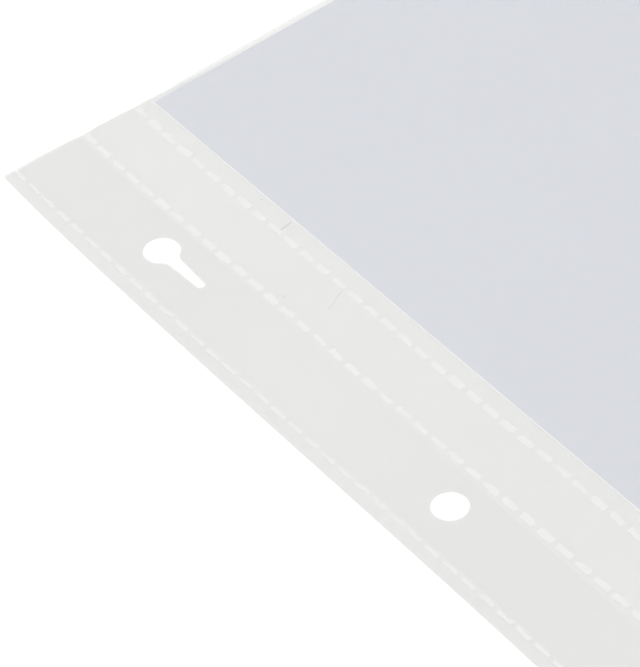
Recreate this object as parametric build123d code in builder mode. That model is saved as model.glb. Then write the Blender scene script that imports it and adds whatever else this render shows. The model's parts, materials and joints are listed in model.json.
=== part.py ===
from build123d import *

import os
from math import cos, floor, radians, sin

# A top-loading punched pocket for a ring binder, lying on its back film with a sheet in it.
# X runs across it from the binding edge to the outer edge, Y along it from the closed bottom to the
# open mouth, and Z up. The origin is under the middle of the pocket. Sizes are in millimetres.

# The sheet and the room that the pocket leaves around it
SHEET_WIDTH = 210.0
SHEET_LENGTH = 297.0
SHEET_THICKNESS = 0.10
SHEET_CLEARANCE = 0.05  # above and below the sheet
SHEET_SIDE_GAP = 3.7  # from the sheet to the weld on each side
MOUTH_GAP = 1.0  # from the sheet's top edge to the mouth
DROP_ROOM = 7.7  # from the sheet's bottom edge to the bottom weld

# The two films and the dashed welds that join them
FILM_THICKNESS = 0.12
FILM_EDGE = 2.1  # film left outside an outermost weld
CORNER_RADIUS = 0.8
WELD_WIDTH = 1.2
EDGE_WELD_WIDTH = 0.9  # the row along the binding edge is narrower
DASH_LENGTH = 3.65
DASH_GAP = 0.9

# The binding margin, with the strip that stiffens it
STRIP_WIDTH = 13.6
STRIP_CLEARANCE = 0.45  # from the strip to the weld on each side
WEB_WIDTH = 9.9  # from the strip weld to the pocket's side weld
FOLD_GAP = 0.3  # from the strip weld to the line where the page folds

# The ring holes, with a keyhole at each end of the row
HOLE_RADIUS = 3.25
KEYHOLE_RADIUS = 3.35  # the round head of a keyhole is a little larger
HOLE_PITCH = 80.0
HOLE_OFFSET = 0.75  # from the strip's middle line towards the pocket
SHOULDER_ANGLE = 34.0  # degrees from the tail's direction to where a shoulder leaves the round head
NECK_WIDTH = 2.4
TAIL_WIDTH = 1.65
TAIL_REACH = 12.3  # from the head's centre to the end of the tail

# Heights
POCKET_GAP = SHEET_THICKNESS + 2 * SHEET_CLEARANCE
FRONT_BASE = FILM_THICKNESS + POCKET_GAP
SHEET_BASE = FILM_THICKNESS + SHEET_CLEARANCE

# Places along the pocket, from its closed bottom at zero
BOTTOM_WELD_INNER = FILM_EDGE + WELD_WIDTH
SHEET_BOTTOM = BOTTOM_WELD_INNER + DROP_ROOM
LENGTH = SHEET_BOTTOM + SHEET_LENGTH + MOUTH_GAP

# Places across the pocket, from the binding edge at zero
EDGE_WELD_INNER = FILM_EDGE + EDGE_WELD_WIDTH
STRIP_LEFT = EDGE_WELD_INNER + STRIP_CLEARANCE
STRIP_RIGHT = STRIP_LEFT + STRIP_WIDTH
STRIP_WELD_LEFT = STRIP_RIGHT + STRIP_CLEARANCE
STRIP_WELD_RIGHT = STRIP_WELD_LEFT + WELD_WIDTH
FOLD_LINE = STRIP_WELD_RIGHT + FOLD_GAP
SIDE_WELD_LEFT = STRIP_WELD_RIGHT + WEB_WIDTH
SIDE_WELD_RIGHT = SIDE_WELD_LEFT + WELD_WIDTH
SHEET_LEFT = SIDE_WELD_RIGHT + SHEET_SIDE_GAP
OUTER_WELD_LEFT = SHEET_LEFT + SHEET_WIDTH + SHEET_SIDE_GAP
WIDTH = OUTER_WELD_LEFT + WELD_WIDTH + FILM_EDGE
HOLE_LINE = (STRIP_LEFT + STRIP_RIGHT) / 2 + HOLE_OFFSET

# Pairs of ring holes about the middle, with a hole's width of film left at each end
HOLE_PAIRS = floor((LENGTH / 2 - 2 * HOLE_RADIUS) / HOLE_PITCH + 1 / 2)

os.makedirs("parts", exist_ok=True)


def across(place):
    """X of a place measured from the binding edge."""
    return place - WIDTH / 2


def along(place):
    """Y of a place measured from the closed bottom."""
    return place - LENGTH / 2


# Keyhole tail in plan, pointing down from a head centred on the origin
shoulder_x = KEYHOLE_RADIUS * sin(radians(SHOULDER_ANGLE))
shoulder_y = -KEYHOLE_RADIUS * cos(radians(SHOULDER_ANGLE))
neck_y = shoulder_y - (shoulder_x - NECK_WIDTH / 2)
tail_y = TAIL_WIDTH / 2 - TAIL_REACH
with BuildSketch() as keyhole_tail:
    with BuildLine():
        Polyline(
            (TAIL_WIDTH / 2, tail_y),
            (NECK_WIDTH / 2, neck_y),
            (shoulder_x, shoulder_y),
            (-shoulder_x, shoulder_y),
            (-NECK_WIDTH / 2, neck_y),
            (-TAIL_WIDTH / 2, tail_y),
        )
        ThreePointArc((-TAIL_WIDTH / 2, tail_y), (0, -TAIL_REACH), (TAIL_WIDTH / 2, tail_y))
    make_face()

# Ring holes in plan: the outermost hole of each half is a keyhole, whose tail points to the middle
hole_places = [(across(HOLE_LINE), HOLE_PITCH * (pair + 1 / 2)) for pair in range(HOLE_PAIRS)]
with BuildSketch() as ring_holes:
    with Locations(*hole_places):
        Circle(HOLE_RADIUS)
    with Locations(hole_places[-1]):
        Circle(KEYHOLE_RADIUS)
        add(keyhole_tail.sketch)
    mirror(about=Plane.XZ)

# Outline of a whole film
with BuildSketch() as film_outline:
    RectangleRounded(WIDTH, LENGTH, CORNER_RADIUS)


def margin_film(label, base):
    """The part of a film from the binding edge to the fold line, punched for the rings."""
    with BuildPart() as film:
        with BuildSketch(Plane.XY.offset(base)):
            add(film_outline.sketch)
            split(bisect_by=Plane.YZ.offset(across(FOLD_LINE)), keep=Keep.BOTTOM)
            add(ring_holes.sketch, mode=Mode.SUBTRACT)
        extrude(amount=FILM_THICKNESS)
    film.part.label = label
    return film.part


def pocket_film(label, base):
    """The part of a film from the fold line to the outer edge."""
    with BuildPart() as film:
        with BuildSketch(Plane.XY.offset(base)):
            add(film_outline.sketch)
            split(bisect_by=Plane.YZ.offset(across(FOLD_LINE)), keep=Keep.TOP)
        extrude(amount=FILM_THICKNESS)
    film.part.label = label
    return film.part


def weld_row(label, plane, width, row_length):
    """A row of weld dashes along the plane's Y axis, as tall as the gap between the films."""
    dash_pitch = DASH_LENGTH + DASH_GAP
    dash_count = floor((row_length + DASH_GAP) / dash_pitch)
    with BuildPart() as row:
        with BuildSketch(plane):
            with GridLocations(width, dash_pitch, 1, dash_count):
                Rectangle(width, DASH_LENGTH)
        extrude(amount=POCKET_GAP)
    row.part.label = label
    return row.part


def lengthwise(low, high):
    """Plane on the back film's inner face, with its Y axis along a row between two places across."""
    return Plane((across((low + high) / 2), 0, FILM_THICKNESS))


# Films, each in two parts that meet at the fold line
front_film_margin = margin_film("front_film_margin", FRONT_BASE)
export_step(front_film_margin, "parts/front_film_margin.step")

front_film_pocket = pocket_film("front_film_pocket", FRONT_BASE)
export_step(front_film_pocket, "parts/front_film_pocket.step")

back_film_margin = margin_film("back_film_margin", 0)
export_step(back_film_margin, "parts/back_film_margin.step")

back_film_pocket = pocket_film("back_film_pocket", 0)
export_step(back_film_pocket, "parts/back_film_pocket.step")

# Stiff strip between the films, punched through with them
with BuildPart() as reinforcing_strip:
    with BuildSketch(Plane.XY.offset(FILM_THICKNESS)):
        with Locations((across((STRIP_LEFT + STRIP_RIGHT) / 2), 0)):
            Rectangle(STRIP_WIDTH, LENGTH)
        add(ring_holes.sketch, mode=Mode.SUBTRACT)
    extrude(amount=POCKET_GAP)
reinforcing_strip.part.label = "reinforcing_strip"
export_step(reinforcing_strip.part, "parts/reinforcing_strip.step")

# Lengthwise welds: two shut the strip in, and two close the sides of the pocket
binding_edge_weld = weld_row(
    "binding_edge_weld", lengthwise(FILM_EDGE, EDGE_WELD_INNER), EDGE_WELD_WIDTH, LENGTH
)
export_step(binding_edge_weld, "parts/binding_edge_weld.step")

strip_weld = weld_row("strip_weld", lengthwise(STRIP_WELD_LEFT, STRIP_WELD_RIGHT), WELD_WIDTH, LENGTH)
export_step(strip_weld, "parts/strip_weld.step")

pocket_side_weld = weld_row(
    "pocket_side_weld", lengthwise(SIDE_WELD_LEFT, SIDE_WELD_RIGHT), WELD_WIDTH, LENGTH
)
export_step(pocket_side_weld, "parts/pocket_side_weld.step")

outer_side_weld = weld_row(
    "outer_side_weld", lengthwise(OUTER_WELD_LEFT, OUTER_WELD_LEFT + WELD_WIDTH), WELD_WIDTH, LENGTH
)
export_step(outer_side_weld, "parts/outer_side_weld.step")

# Bottom weld, from one side weld to the other, where a dropped sheet stops
bottom_plane = Plane(
    (across((SIDE_WELD_RIGHT + OUTER_WELD_LEFT) / 2), along(FILM_EDGE + WELD_WIDTH / 2), FILM_THICKNESS),
    x_dir=(0, -1, 0),
)
bottom_weld = weld_row("bottom_weld", bottom_plane, WELD_WIDTH, OUTER_WELD_LEFT - SIDE_WELD_RIGHT)
export_step(bottom_weld, "parts/bottom_weld.step")

# Sheet, loose in the pocket
with BuildPart() as insert_sheet:
    with BuildSketch(Plane.XY.offset(SHEET_BASE)):
        with Locations((across(SHEET_LEFT), along(SHEET_BOTTOM))):
            Rectangle(SHEET_WIDTH, SHEET_LENGTH, align=Align.MIN)
    extrude(amount=SHEET_THICKNESS)
insert_sheet.part.label = "insert_sheet"
export_step(insert_sheet.part, "parts/insert_sheet.step")
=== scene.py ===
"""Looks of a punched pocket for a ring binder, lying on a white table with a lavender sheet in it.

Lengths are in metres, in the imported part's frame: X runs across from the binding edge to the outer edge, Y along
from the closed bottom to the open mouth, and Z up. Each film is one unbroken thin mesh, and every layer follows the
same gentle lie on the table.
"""

import json
import logging
import math
from dataclasses import dataclass, field, replace
from enum import Enum
from functools import reduce
from typing import Any, Callable, Optional, Sequence, Union

import bpy
import numpy as np
from mathutils import Matrix, Vector
from mathutils.geometry import delaunay_2d_cdt
from mathutils.kdtree import KDTree

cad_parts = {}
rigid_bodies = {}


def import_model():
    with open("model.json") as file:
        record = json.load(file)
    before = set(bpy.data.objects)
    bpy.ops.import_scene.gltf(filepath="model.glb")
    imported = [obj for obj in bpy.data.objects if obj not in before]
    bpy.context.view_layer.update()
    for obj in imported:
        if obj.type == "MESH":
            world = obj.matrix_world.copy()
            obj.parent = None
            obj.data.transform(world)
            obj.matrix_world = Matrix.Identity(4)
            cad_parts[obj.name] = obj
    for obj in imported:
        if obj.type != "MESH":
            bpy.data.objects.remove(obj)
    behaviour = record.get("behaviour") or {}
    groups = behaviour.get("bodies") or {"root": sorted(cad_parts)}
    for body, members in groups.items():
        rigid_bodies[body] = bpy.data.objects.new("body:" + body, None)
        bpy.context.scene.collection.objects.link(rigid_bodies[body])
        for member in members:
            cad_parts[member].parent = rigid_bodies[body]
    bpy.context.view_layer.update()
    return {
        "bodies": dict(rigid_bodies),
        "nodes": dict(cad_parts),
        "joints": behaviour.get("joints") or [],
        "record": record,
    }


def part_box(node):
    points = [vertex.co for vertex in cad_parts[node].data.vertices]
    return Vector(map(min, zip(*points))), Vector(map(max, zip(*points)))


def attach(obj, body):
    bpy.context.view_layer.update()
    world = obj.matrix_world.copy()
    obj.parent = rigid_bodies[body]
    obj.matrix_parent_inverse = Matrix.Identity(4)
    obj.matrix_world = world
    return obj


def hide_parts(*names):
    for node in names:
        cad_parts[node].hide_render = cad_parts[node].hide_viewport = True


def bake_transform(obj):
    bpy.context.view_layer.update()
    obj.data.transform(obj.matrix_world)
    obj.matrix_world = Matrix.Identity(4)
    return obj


LOG = logging.getLogger("sheet_protector")

Colour = tuple[float, float, float, float]
Pair = tuple[float, float]
Triple = tuple[float, float, float]
Key = Union[int, str]
Feed = Union["Wire", float, int, str, bool, Triple, Colour, None]
Feeds = dict[Key, Feed]

MM = 0.001
PHOTO_FRAME = (640, 667)
IN_PLAN: Triple = (1.0, 1.0, 0.0)
PLASTIC_IOR = 1.49
PAPER_IOR = 1.45
SAME_POINT = 1e-9  # points of a net that are closer than this are one point


class Body(Enum):
    """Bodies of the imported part."""

    BINDING = "binding"
    POCKET = "pocket"
    SHEET = "sheet"


class Slot(Enum):
    """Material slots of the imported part's record."""

    CLEAR_FILM = "clear_film"
    STRIP_FILM = "strip_film"
    FUSED_FILM = "fused_film"
    LAVENDER_PAPER = "lavender_paper"


class Weld(Enum):
    """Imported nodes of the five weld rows."""

    BINDING_EDGE = "binding_edge_weld"
    STRIP = "strip_weld"
    POCKET_SIDE = "pocket_side_weld"
    OUTER_SIDE = "outer_side_weld"
    BOTTOM = "bottom_weld"


class Layer(Enum):
    """Layers of the pocket, from the table up."""

    BACK = "back"
    MIDDLE = "middle"
    FRONT = "front"


def arithmetic(operation: str, swapped: bool = False) -> Callable[..., "Wire"]:
    """Make a method of Wire that adds the Math node of one operation.

    Args:
        operation: Blender's name of the operation.
        swapped: Whether the wire is the second value of the two.

    Returns:
        The method.
    """

    def method(self: "Wire", other: Feed = 0.0) -> "Wire":
        """Add the node."""
        first, second = (other, self) if swapped else (self, other)
        return self.canvas.node("ShaderNodeMath", {"operation": operation}, {0: first, 1: second})

    return method


class Wire:
    """An output socket that takes part in Python sums."""

    def __init__(self, canvas: "Canvas", socket: Optional[bpy.types.NodeSocket]) -> None:
        """Keep a socket and the tree that it belongs to."""
        self.canvas = canvas
        self.socket = socket

    __add__, __radd__ = arithmetic("ADD"), arithmetic("ADD", swapped=True)
    __sub__, __rsub__ = arithmetic("SUBTRACT"), arithmetic("SUBTRACT", swapped=True)
    __mul__, __rmul__ = arithmetic("MULTIPLY"), arithmetic("MULTIPLY", swapped=True)
    cosine, at_most, at_least = arithmetic("COSINE"), arithmetic("MINIMUM"), arithmetic("MAXIMUM")


def summed(start: float, wires: Sequence[Wire], shares: Sequence[float]) -> Feed:
    """Add a share of each wire to a number.

    Args:
        start: The number.
        wires: The wires.
        shares: Share of each wire, 0 for one that takes no part.

    Returns:
        The sum, made with as few nodes as it takes.
    """
    total: Feed = start
    for wire, share in zip(wires, shares):
        if share:
            part = wire if share == 1.0 else wire * share
            total = total + part if total else part
    return total


class Canvas:
    """A node tree that is filled by calls."""

    def __init__(self, tree: bpy.types.NodeTree) -> None:
        """Take a tree to fill."""
        self.tree = tree

    def node(
        self,
        kind: str,
        settings: Optional[dict[str, Any]] = None,
        feeds: Optional[Feeds] = None,
        output: Key = 0,
    ) -> Wire:
        """Add one node.

        Args:
            kind: Blender's type name of the node.
            settings: Properties set before anything is linked.
            feeds: Value or wire of each input socket, by its name or its place.
            output: Name or place of the output socket that is wanted.

        Returns:
            The wanted output, empty on a node that has none.
        """
        made = self.tree.nodes.new(kind)
        for name, value in (settings or {}).items():
            setattr(made, name, value)
        for key, feed in (feeds or {}).items():
            if isinstance(feed, Wire):
                self.tree.links.new(feed.socket, made.inputs[key])
            else:
                made.inputs[key].default_value = feed
        return Wire(self, made.outputs[output] if made.outputs else None)

    def vector(self, operation: str, first: Feed, second: Feed, output: Key = 0) -> Wire:
        """One operation on two vectors."""
        return self.node("ShaderNodeVectorMath", {"operation": operation}, {0: first, 1: second}, output)

    def scaled(self, vector: Feed, share: Feed) -> Wire:
        """A vector times a number."""
        return self.node("ShaderNodeVectorMath", {"operation": "SCALE"}, {0: vector, "Scale": share})

    def mix(self, share: Feed, first: Feed, second: Feed) -> Wire:
        """A colour between two colours."""
        return self.node("ShaderNodeMix", {"data_type": "RGBA"}, {0: share, 6: first, 7: second}, 2)


class MaterialCanvas(Canvas):
    """The node tree of one material, with its shader."""

    def __init__(self, name: str) -> None:
        """Start a material with an empty tree.

        Args:
            name: Name of the material.
        """
        self.material = bpy.data.materials.new(name)
        self.material.use_nodes = True
        self.material.node_tree.nodes.clear()
        super().__init__(self.material.node_tree)

    def place(self) -> Wire:
        """Object coordinates, in metres."""
        return self.node("ShaderNodeTexCoord", output="Object")

    def bump(self, height: Feed, depth: float, strength: float) -> Wire:
        """A normal bent by a height of 0 to 1 that stands for the given depth in metres."""
        return self.node("ShaderNodeBump", {}, {"Strength": strength, "Distance": depth, "Height": height})

    def shade(self, feeds: Feeds) -> bpy.types.Material:
        """Close the tree with one shader, which takes a value or a wire for each named input."""
        self.node("ShaderNodeOutputMaterial", {}, {"Surface": self.node("ShaderNodeBsdfPrincipled", {}, feeds)})
        return self.material


@dataclass(frozen=True)
class Mark:
    """A short crease or speck in a film, in plan; a crease shows in painted shade, a speck as dark dust.

    Attributes:
        start: One end.
        end: The other end.
        width: Width over which it fades.
        depth: How strongly it shows, from 0 to 1.
    """

    start: Triple
    end: Triple
    width: float
    depth: float

    def mask(self, canvas: MaterialCanvas, place: Wire) -> Wire:
        """Add the nodes of the mark.

        Args:
            canvas: The film's material.
            place: Object coordinates.

        Returns:
            The mark's depth on its line, 0 away from it.
        """
        run = Vector(self.end) - Vector(self.start)
        away = canvas.vector("SUBTRACT", canvas.vector("MULTIPLY", place, IN_PLAN), self.start)
        share = canvas.vector("DOT_PRODUCT", away, tuple(run), "Value") * (1.0 / run.length_squared)
        foot = canvas.scaled(tuple(run), share.at_least(0.0).at_most(1.0))
        distance = canvas.vector("DISTANCE", away, foot, "Value")
        faded = {"Value": distance, "From Min": 0.0, "From Max": self.width, "To Min": 1.0, "To Max": 0.0}
        return canvas.node("ShaderNodeMapRange", {"interpolation_type": "SMOOTHSTEP"}, faded) * self.depth


@dataclass(frozen=True)
class Bands:
    """Broad milkier bands across a piece.

    Attributes:
        first: Place of one band along the pocket.
        spacing: Distance from one band to the next.
        veil: How much a band adds to the veil.
    """

    first: float
    spacing: float
    veil: float

    def added(self, canvas: MaterialCanvas, place: Wire) -> Wire:
        """What the bands add to the veil at each place, less than nothing between them."""
        along = canvas.node("ShaderNodeSeparateXYZ", {}, {0: place}, "Y")
        return ((along - self.first) * (2.0 * math.pi / self.spacing)).cosine() * self.veil


@dataclass(frozen=True)
class Grain:
    """One kind of cloudy unevenness in a finish.

    Attributes:
        size: Size of its features.
        detail: How many finer sizes are mixed into it.
        harsh: How strongly those finer sizes show.
        drawn: Scale along the pocket, below 1 where the features are drawn out into lines.
        tone: Its share in the colour, from the light tone to the dark one.
        rough: How much it adds to the roughness.
        veil: How much it varies the veil.
        height: Its share in the relief.
    """

    size: float
    detail: float = 1.0
    harsh: float = 0.5
    drawn: float = 1.0
    tone: float = 0.0
    rough: float = 0.0
    veil: float = 0.0
    height: float = 0.0

    def cloud(self, canvas: MaterialCanvas, place: Wire) -> Wire:
        """Add the grain's noise.

        Args:
            canvas: The material's tree.
            place: Object coordinates.

        Returns:
            Noise from 0 to 1.
        """
        if self.drawn != 1.0:
            place = canvas.vector("MULTIPLY", place, (1.0, self.drawn, 1.0))
        feeds = {"Vector": place, "Scale": 1.0 / self.size, "Detail": self.detail, "Roughness": self.harsh}
        return canvas.node("ShaderNodeTexNoise", {"noise_dimensions": "3D"}, feeds)


@dataclass(frozen=True)
class Finish:
    """A finish of two tones, with its unevenness.

    Attributes:
        name: Name of the material.
        light: Its lighter tone.
        dark: Its darker tone.
        rough: Roughness where it is smoothest.
        grains: Its kinds of unevenness.
        ior: Refractive index, or nothing for Blender's own.
        veil: Share of light that one face holds back, or nothing where it holds back all.
        depth: Depth of its relief, or 0 if it is plain.
        strength: How strongly the relief shows.
        bands: Milkier bands, if it has any.
        marks: Creases and specks.
        crease_shade_and_speck_tone: Colour in a mark, painted shade along a crease and the dark of dust in a speck.
        mark_veil: How much a mark adds to the veil.
    """

    name: str
    light: Colour
    dark: Colour
    rough: float
    grains: tuple[Grain, ...]
    ior: Optional[float] = PLASTIC_IOR
    veil: Optional[float] = None
    depth: float = 0.0
    strength: float = 0.5
    bands: Optional[Bands] = None
    marks: tuple[Mark, ...] = ()
    # darker tone of a mark: painted shade along creases, dust in specks
    crease_shade_and_speck_tone: Colour = (0.30, 0.30, 0.29, 1.0)
    mark_veil: float = 0.4

    def material(self) -> bpy.types.Material:
        """Build the finish.

        Returns:
            The material.
        """
        canvas = MaterialCanvas(self.name)
        place = canvas.place()
        clouds = [grain.cloud(canvas, place) for grain in self.grains]
        colour = canvas.mix(summed(0.0, clouds, [grain.tone for grain in self.grains]), self.light, self.dark)
        height = summed(0.0, clouds, [grain.height for grain in self.grains])
        varied = [grain.veil for grain in self.grains]
        veil = summed((self.veil or 0.0) - sum(varied) / 2, clouds, varied)
        if self.bands is not None:
            veil = veil + self.bands.added(canvas, place)
        # marks darken the film: painted shade along creases, dust in the specks
        if self.marks:
            creased = reduce(Wire.at_least, [mark.mask(canvas, place) for mark in self.marks])
            colour = canvas.mix(creased, colour, self.crease_shade_and_speck_tone)
            veil = veil + creased * self.mark_veil
            height = height + creased
        feeds: Feeds = {"Base Color": colour}
        feeds["Roughness"] = summed(self.rough, clouds, [grain.rough for grain in self.grains])
        if self.ior is not None:
            feeds["IOR"] = self.ior
        if self.veil is not None:
            feeds["Alpha"] = veil
        if self.depth:
            feeds["Normal"] = canvas.bump(height, self.depth, self.strength)
        return canvas.shade(feeds)


def grey(light: float, warmth: float = 0.01) -> Colour:
    """A grey of the given lightness, with less blue by the given warmth."""
    return (light, light, light - warmth, 1.0)


# Clear film with a fine grain, faintly milky
CLEAR_FILM = Finish(
    "back_film_clear",
    grey(0.745, 0.022),
    grey(0.725, 0.021),
    rough=0.26,
    grains=(
        Grain(60 * MM, tone=1.0, veil=0.008),
        Grain(2.2 * MM, drawn=0.04, rough=0.06, height=0.5),
        Grain(0.55 * MM, harsh=0.6, rough=0.12, veil=0.0048, height=1.0),
    ),
    veil=0.117,
    depth=0.012 * MM,
)
# Stiffer film of the strip, a little greyer, with faint lines along it and broad milkier bands
STRIP_FILM = Finish(
    "strip_film",
    grey(0.68),
    grey(0.60),
    rough=0.34,
    grains=(
        Grain(1.1 * MM, detail=3.0, drawn=0.02, tone=1.0, rough=0.1, veil=0.005, height=1.0),
        Grain(0.7 * MM, rough=0.08, height=0.4),
    ),
    veil=0.012,
    depth=0.01 * MM,
    bands=Bands(first=134 * MM, spacing=110 * MM, veil=0.009),
)
# Film that was melted, whiter and crushed by the welding bar
FUSED_FILM = Finish(
    "fused_film",
    grey(0.96),
    grey(0.89),
    rough=0.22,
    grains=(
        Grain(0.5 * MM, detail=3.0, harsh=0.6, tone=1.0, rough=0.25, veil=0.1, height=1.0),
        Grain(7 * MM, veil=0.1),
    ),
    veil=0.6,
    depth=0.03 * MM,
    strength=0.6,
)
EDGE_FUSED_FILM = replace(FUSED_FILM, name="edge_fused_film", light=grey(0.95), dark=grey(0.88))
# Cut edge of a film, a little denser than its faces, its darker grey painted shade that sets off the edge
FILM_CUT_EDGE_SHADE = Finish(
    "film_cut_edge",
    grey(0.62),
    grey(0.50),
    rough=0.35,
    grains=(Grain(0.8 * MM, detail=2.0, tone=1.0, rough=0.2, veil=0.12, height=1.0),),
    veil=0.30,
    depth=0.02 * MM,
)
# Wall between a weld dash and the film around it, nearly clear because the two are one there
FUSED_SEAM = Finish(
    "fused_seam",
    grey(0.90),
    grey(0.80),
    rough=0.3,
    grains=(Grain(0.5 * MM, detail=2.0, tone=1.0, rough=0.2, veil=0.024),),
    veil=0.012,
)
# Uncoated pale lavender paper with fibres and a soft tooth, and a pale band along its cut edges: partly its white
# core, partly a painted highlight that lightens the shade beside the edge
LAVENDER_PAPER = Finish(
    "lavender_paper",
    (0.662, 0.680, 0.738, 1.0),
    (0.632, 0.650, 0.708, 1.0),
    rough=0.78,
    grains=(
        Grain(0.35 * MM, detail=3.0, harsh=0.65, tone=0.35, height=1.0),
        Grain(0.6 * MM, detail=2.0, drawn=0.18, tone=0.35, rough=0.14, height=0.6),
        Grain(18 * MM, detail=3.0, tone=0.3),
    ),
    ior=PAPER_IOR,
    depth=0.02 * MM,
)
# pale band along the paper's cut edges: its white core and a painted highlight against the shade beside it
PAPER_EDGE_CORE_AND_HIGHLIGHT = replace(
    LAVENDER_PAPER, name="paper_cut_edge", light=(0.95, 0.953, 0.96, 1.0), dark=(0.90, 0.903, 0.91, 1.0)
)
WHITE_TABLE = Finish(
    "white_table", grey(0.90, 0.0), grey(0.88, 0.0), rough=0.9, grains=(Grain(400 * MM, tone=1.0),), ior=None
)


@dataclass(frozen=True)
class Span:
    """A stretch along one axis."""

    low: float
    high: float

    @property
    def width(self) -> float:
        """Length of the stretch."""
        return self.high - self.low

    @property
    def middle(self) -> float:
        """Middle of the stretch."""
        return (self.low + self.high) / 2


@dataclass(frozen=True)
class NodeBox:
    """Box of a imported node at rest."""

    x: Span
    y: Span
    z: Span

    @classmethod
    def of(cls, node: str) -> "NodeBox":
        """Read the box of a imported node."""
        low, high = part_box(node)
        return cls(*(Span(float(a), float(b)) for a, b in zip(low, high)))


def between(low: float, high: float, parts: int) -> np.ndarray:
    """Places that divide a stretch into equal parts, with its two ends."""
    return np.linspace(low, high, parts + 1)


def pairs(x: Union[float, np.ndarray], y: Union[float, np.ndarray]) -> np.ndarray:
    """Points in plan, one row each, from places across and along, of which one may be a single number."""
    return np.column_stack(np.broadcast_arrays(x, y))


@dataclass(frozen=True)
class RingHole:
    """A hole for a binder ring, round or with a keyhole tail towards the middle of the pocket.

    Attributes:
        x: Centre across.
        y: Centre along.
        radius: Radius of the round head.
        tailed: Whether it has a tail.
        shoulder: Angle from the tail's direction to where a shoulder leaves the head.
        neck: Width of the tail where it leaves the shoulders.
        sweep: Length over which a shoulder turns into the tail.
        tail: Width of the tail near its end.
        reach: Distance from the centre to the tail's end.
        head_points: Points round the head.
        tip_points: Points round the tail's end.
    """

    x: float
    y: float
    radius: float
    tailed: bool
    shoulder: float = math.radians(34.0)
    neck: float = 2.4 * MM
    sweep: float = 1.0 * MM
    tail: float = 1.65 * MM
    reach: float = 12.3 * MM
    head_points: int = 56
    tip_points: int = 10

    def loop(self) -> np.ndarray:
        """Outline in plan, counterclockwise.

        Returns:
            The outline's points, one row each.
        """
        if not self.tailed:
            turn = np.linspace(0.0, 2 * np.pi, self.head_points, endpoint=False)
            return pairs(self.x + self.radius * np.cos(turn), self.y + self.radius * np.sin(turn))
        turn = np.linspace(self.shoulder, 2 * np.pi - self.shoulder, self.head_points)
        head = pairs(self.radius * np.sin(turn), -self.radius * np.cos(turn))
        leave = head[-1]
        bend = np.array((-self.neck / 2, leave[1] - abs(leave[0]) + self.neck / 2))
        swept = bend - np.array((0.0, self.sweep))
        foot = np.array((-self.tail / 2, self.tail / 2 - self.reach))
        t = np.linspace(0.15, 0.85, 4)[:, None]  # shares of the way round a shoulder
        shoulder = (1 - t) ** 2 * leave + 2 * t * (1 - t) * bend + t**2 * swept
        t = np.linspace(0.2, 1.0, 5)[:, None]  # shares of the way down a side of the tail
        side = np.concatenate((shoulder, (1 - t) * swept + t * foot))
        turn = np.linspace(np.pi, 2 * np.pi, self.tip_points + 2)[1:-1]
        tip = pairs(np.cos(turn), np.sin(turn)) * self.tail / 2 + np.array((0.0, foot[1]))
        shape = np.concatenate((head, side, tip, side[::-1] * np.array((-1.0, 1.0))))
        if self.y < 0:
            shape = (shape * np.array((1.0, -1.0)))[::-1]
        return shape + np.array((self.x, self.y))


@dataclass(frozen=True)
class PocketPlan:
    """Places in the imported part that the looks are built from.

    Attributes:
        margin: Box of the front film on the binding side of the fold.
        front: Box of the front film on the pocket's side of the fold.
        back: Box of the back film on the pocket's side of the fold.
        strip: Box of the strip.
        edge_weld: Box of the weld along the binding edge.
        strip_weld: Box of the weld between the strip and the fold.
        side_weld: Box of the weld that closes the pocket beside the fold.
        outer_weld: Box of the weld that closes the pocket's outer side.
        bottom_weld: Box of the weld that closes the bottom.
        sheet: Box of the sheet.
        holes: The ring holes.
    """

    margin: NodeBox
    front: NodeBox
    back: NodeBox
    strip: NodeBox
    edge_weld: NodeBox
    strip_weld: NodeBox
    side_weld: NodeBox
    outer_weld: NodeBox
    bottom_weld: NodeBox
    sheet: NodeBox
    holes: tuple[RingHole, ...]

    @classmethod
    def read(cls, frame: dict[str, Any]) -> "PocketPlan":
        """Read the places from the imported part.

        Args:
            frame: The loaded frame.

        Returns:
            The plan.
        """
        bores = [mount for mount in frame["record"]["mounts"] if mount["kind"] == "bore"]
        nodes = ("front_film_margin", "front_film_pocket", "back_film_pocket", "reinforcing_strip")
        welds = tuple(weld.value for weld in Weld)
        return cls(
            *(NodeBox.of(node) for node in (*nodes, *welds, "insert_sheet")),
            holes=tuple(
                RingHole(*bore["pos_m"][:2], bore["dims"]["r_mm"] * MM, "keyhole" in bore["name"]) for bore in bores
            ),
        )


def eased(place: np.ndarray, start: float, end: float) -> np.ndarray:
    """Rise smoothly from 0 at one place to 1 at another, which may lie on either side of it."""
    share = np.clip((place - start) / (end - start), 0.0, 1.0)
    return share * share * (3.0 - 2.0 * share)


@dataclass(frozen=True)
class Wave:
    """One wave along a line.

    Attributes:
        height: Its height.
        reach: Distance over which its angle grows by one radian.
        phase: Its angle at the origin.
    """

    height: float
    reach: float
    phase: float = 0.0

    def at(self, place: np.ndarray) -> np.ndarray:
        """Its height at each place."""
        return self.height * np.sin(place / self.reach + self.phase)


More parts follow.
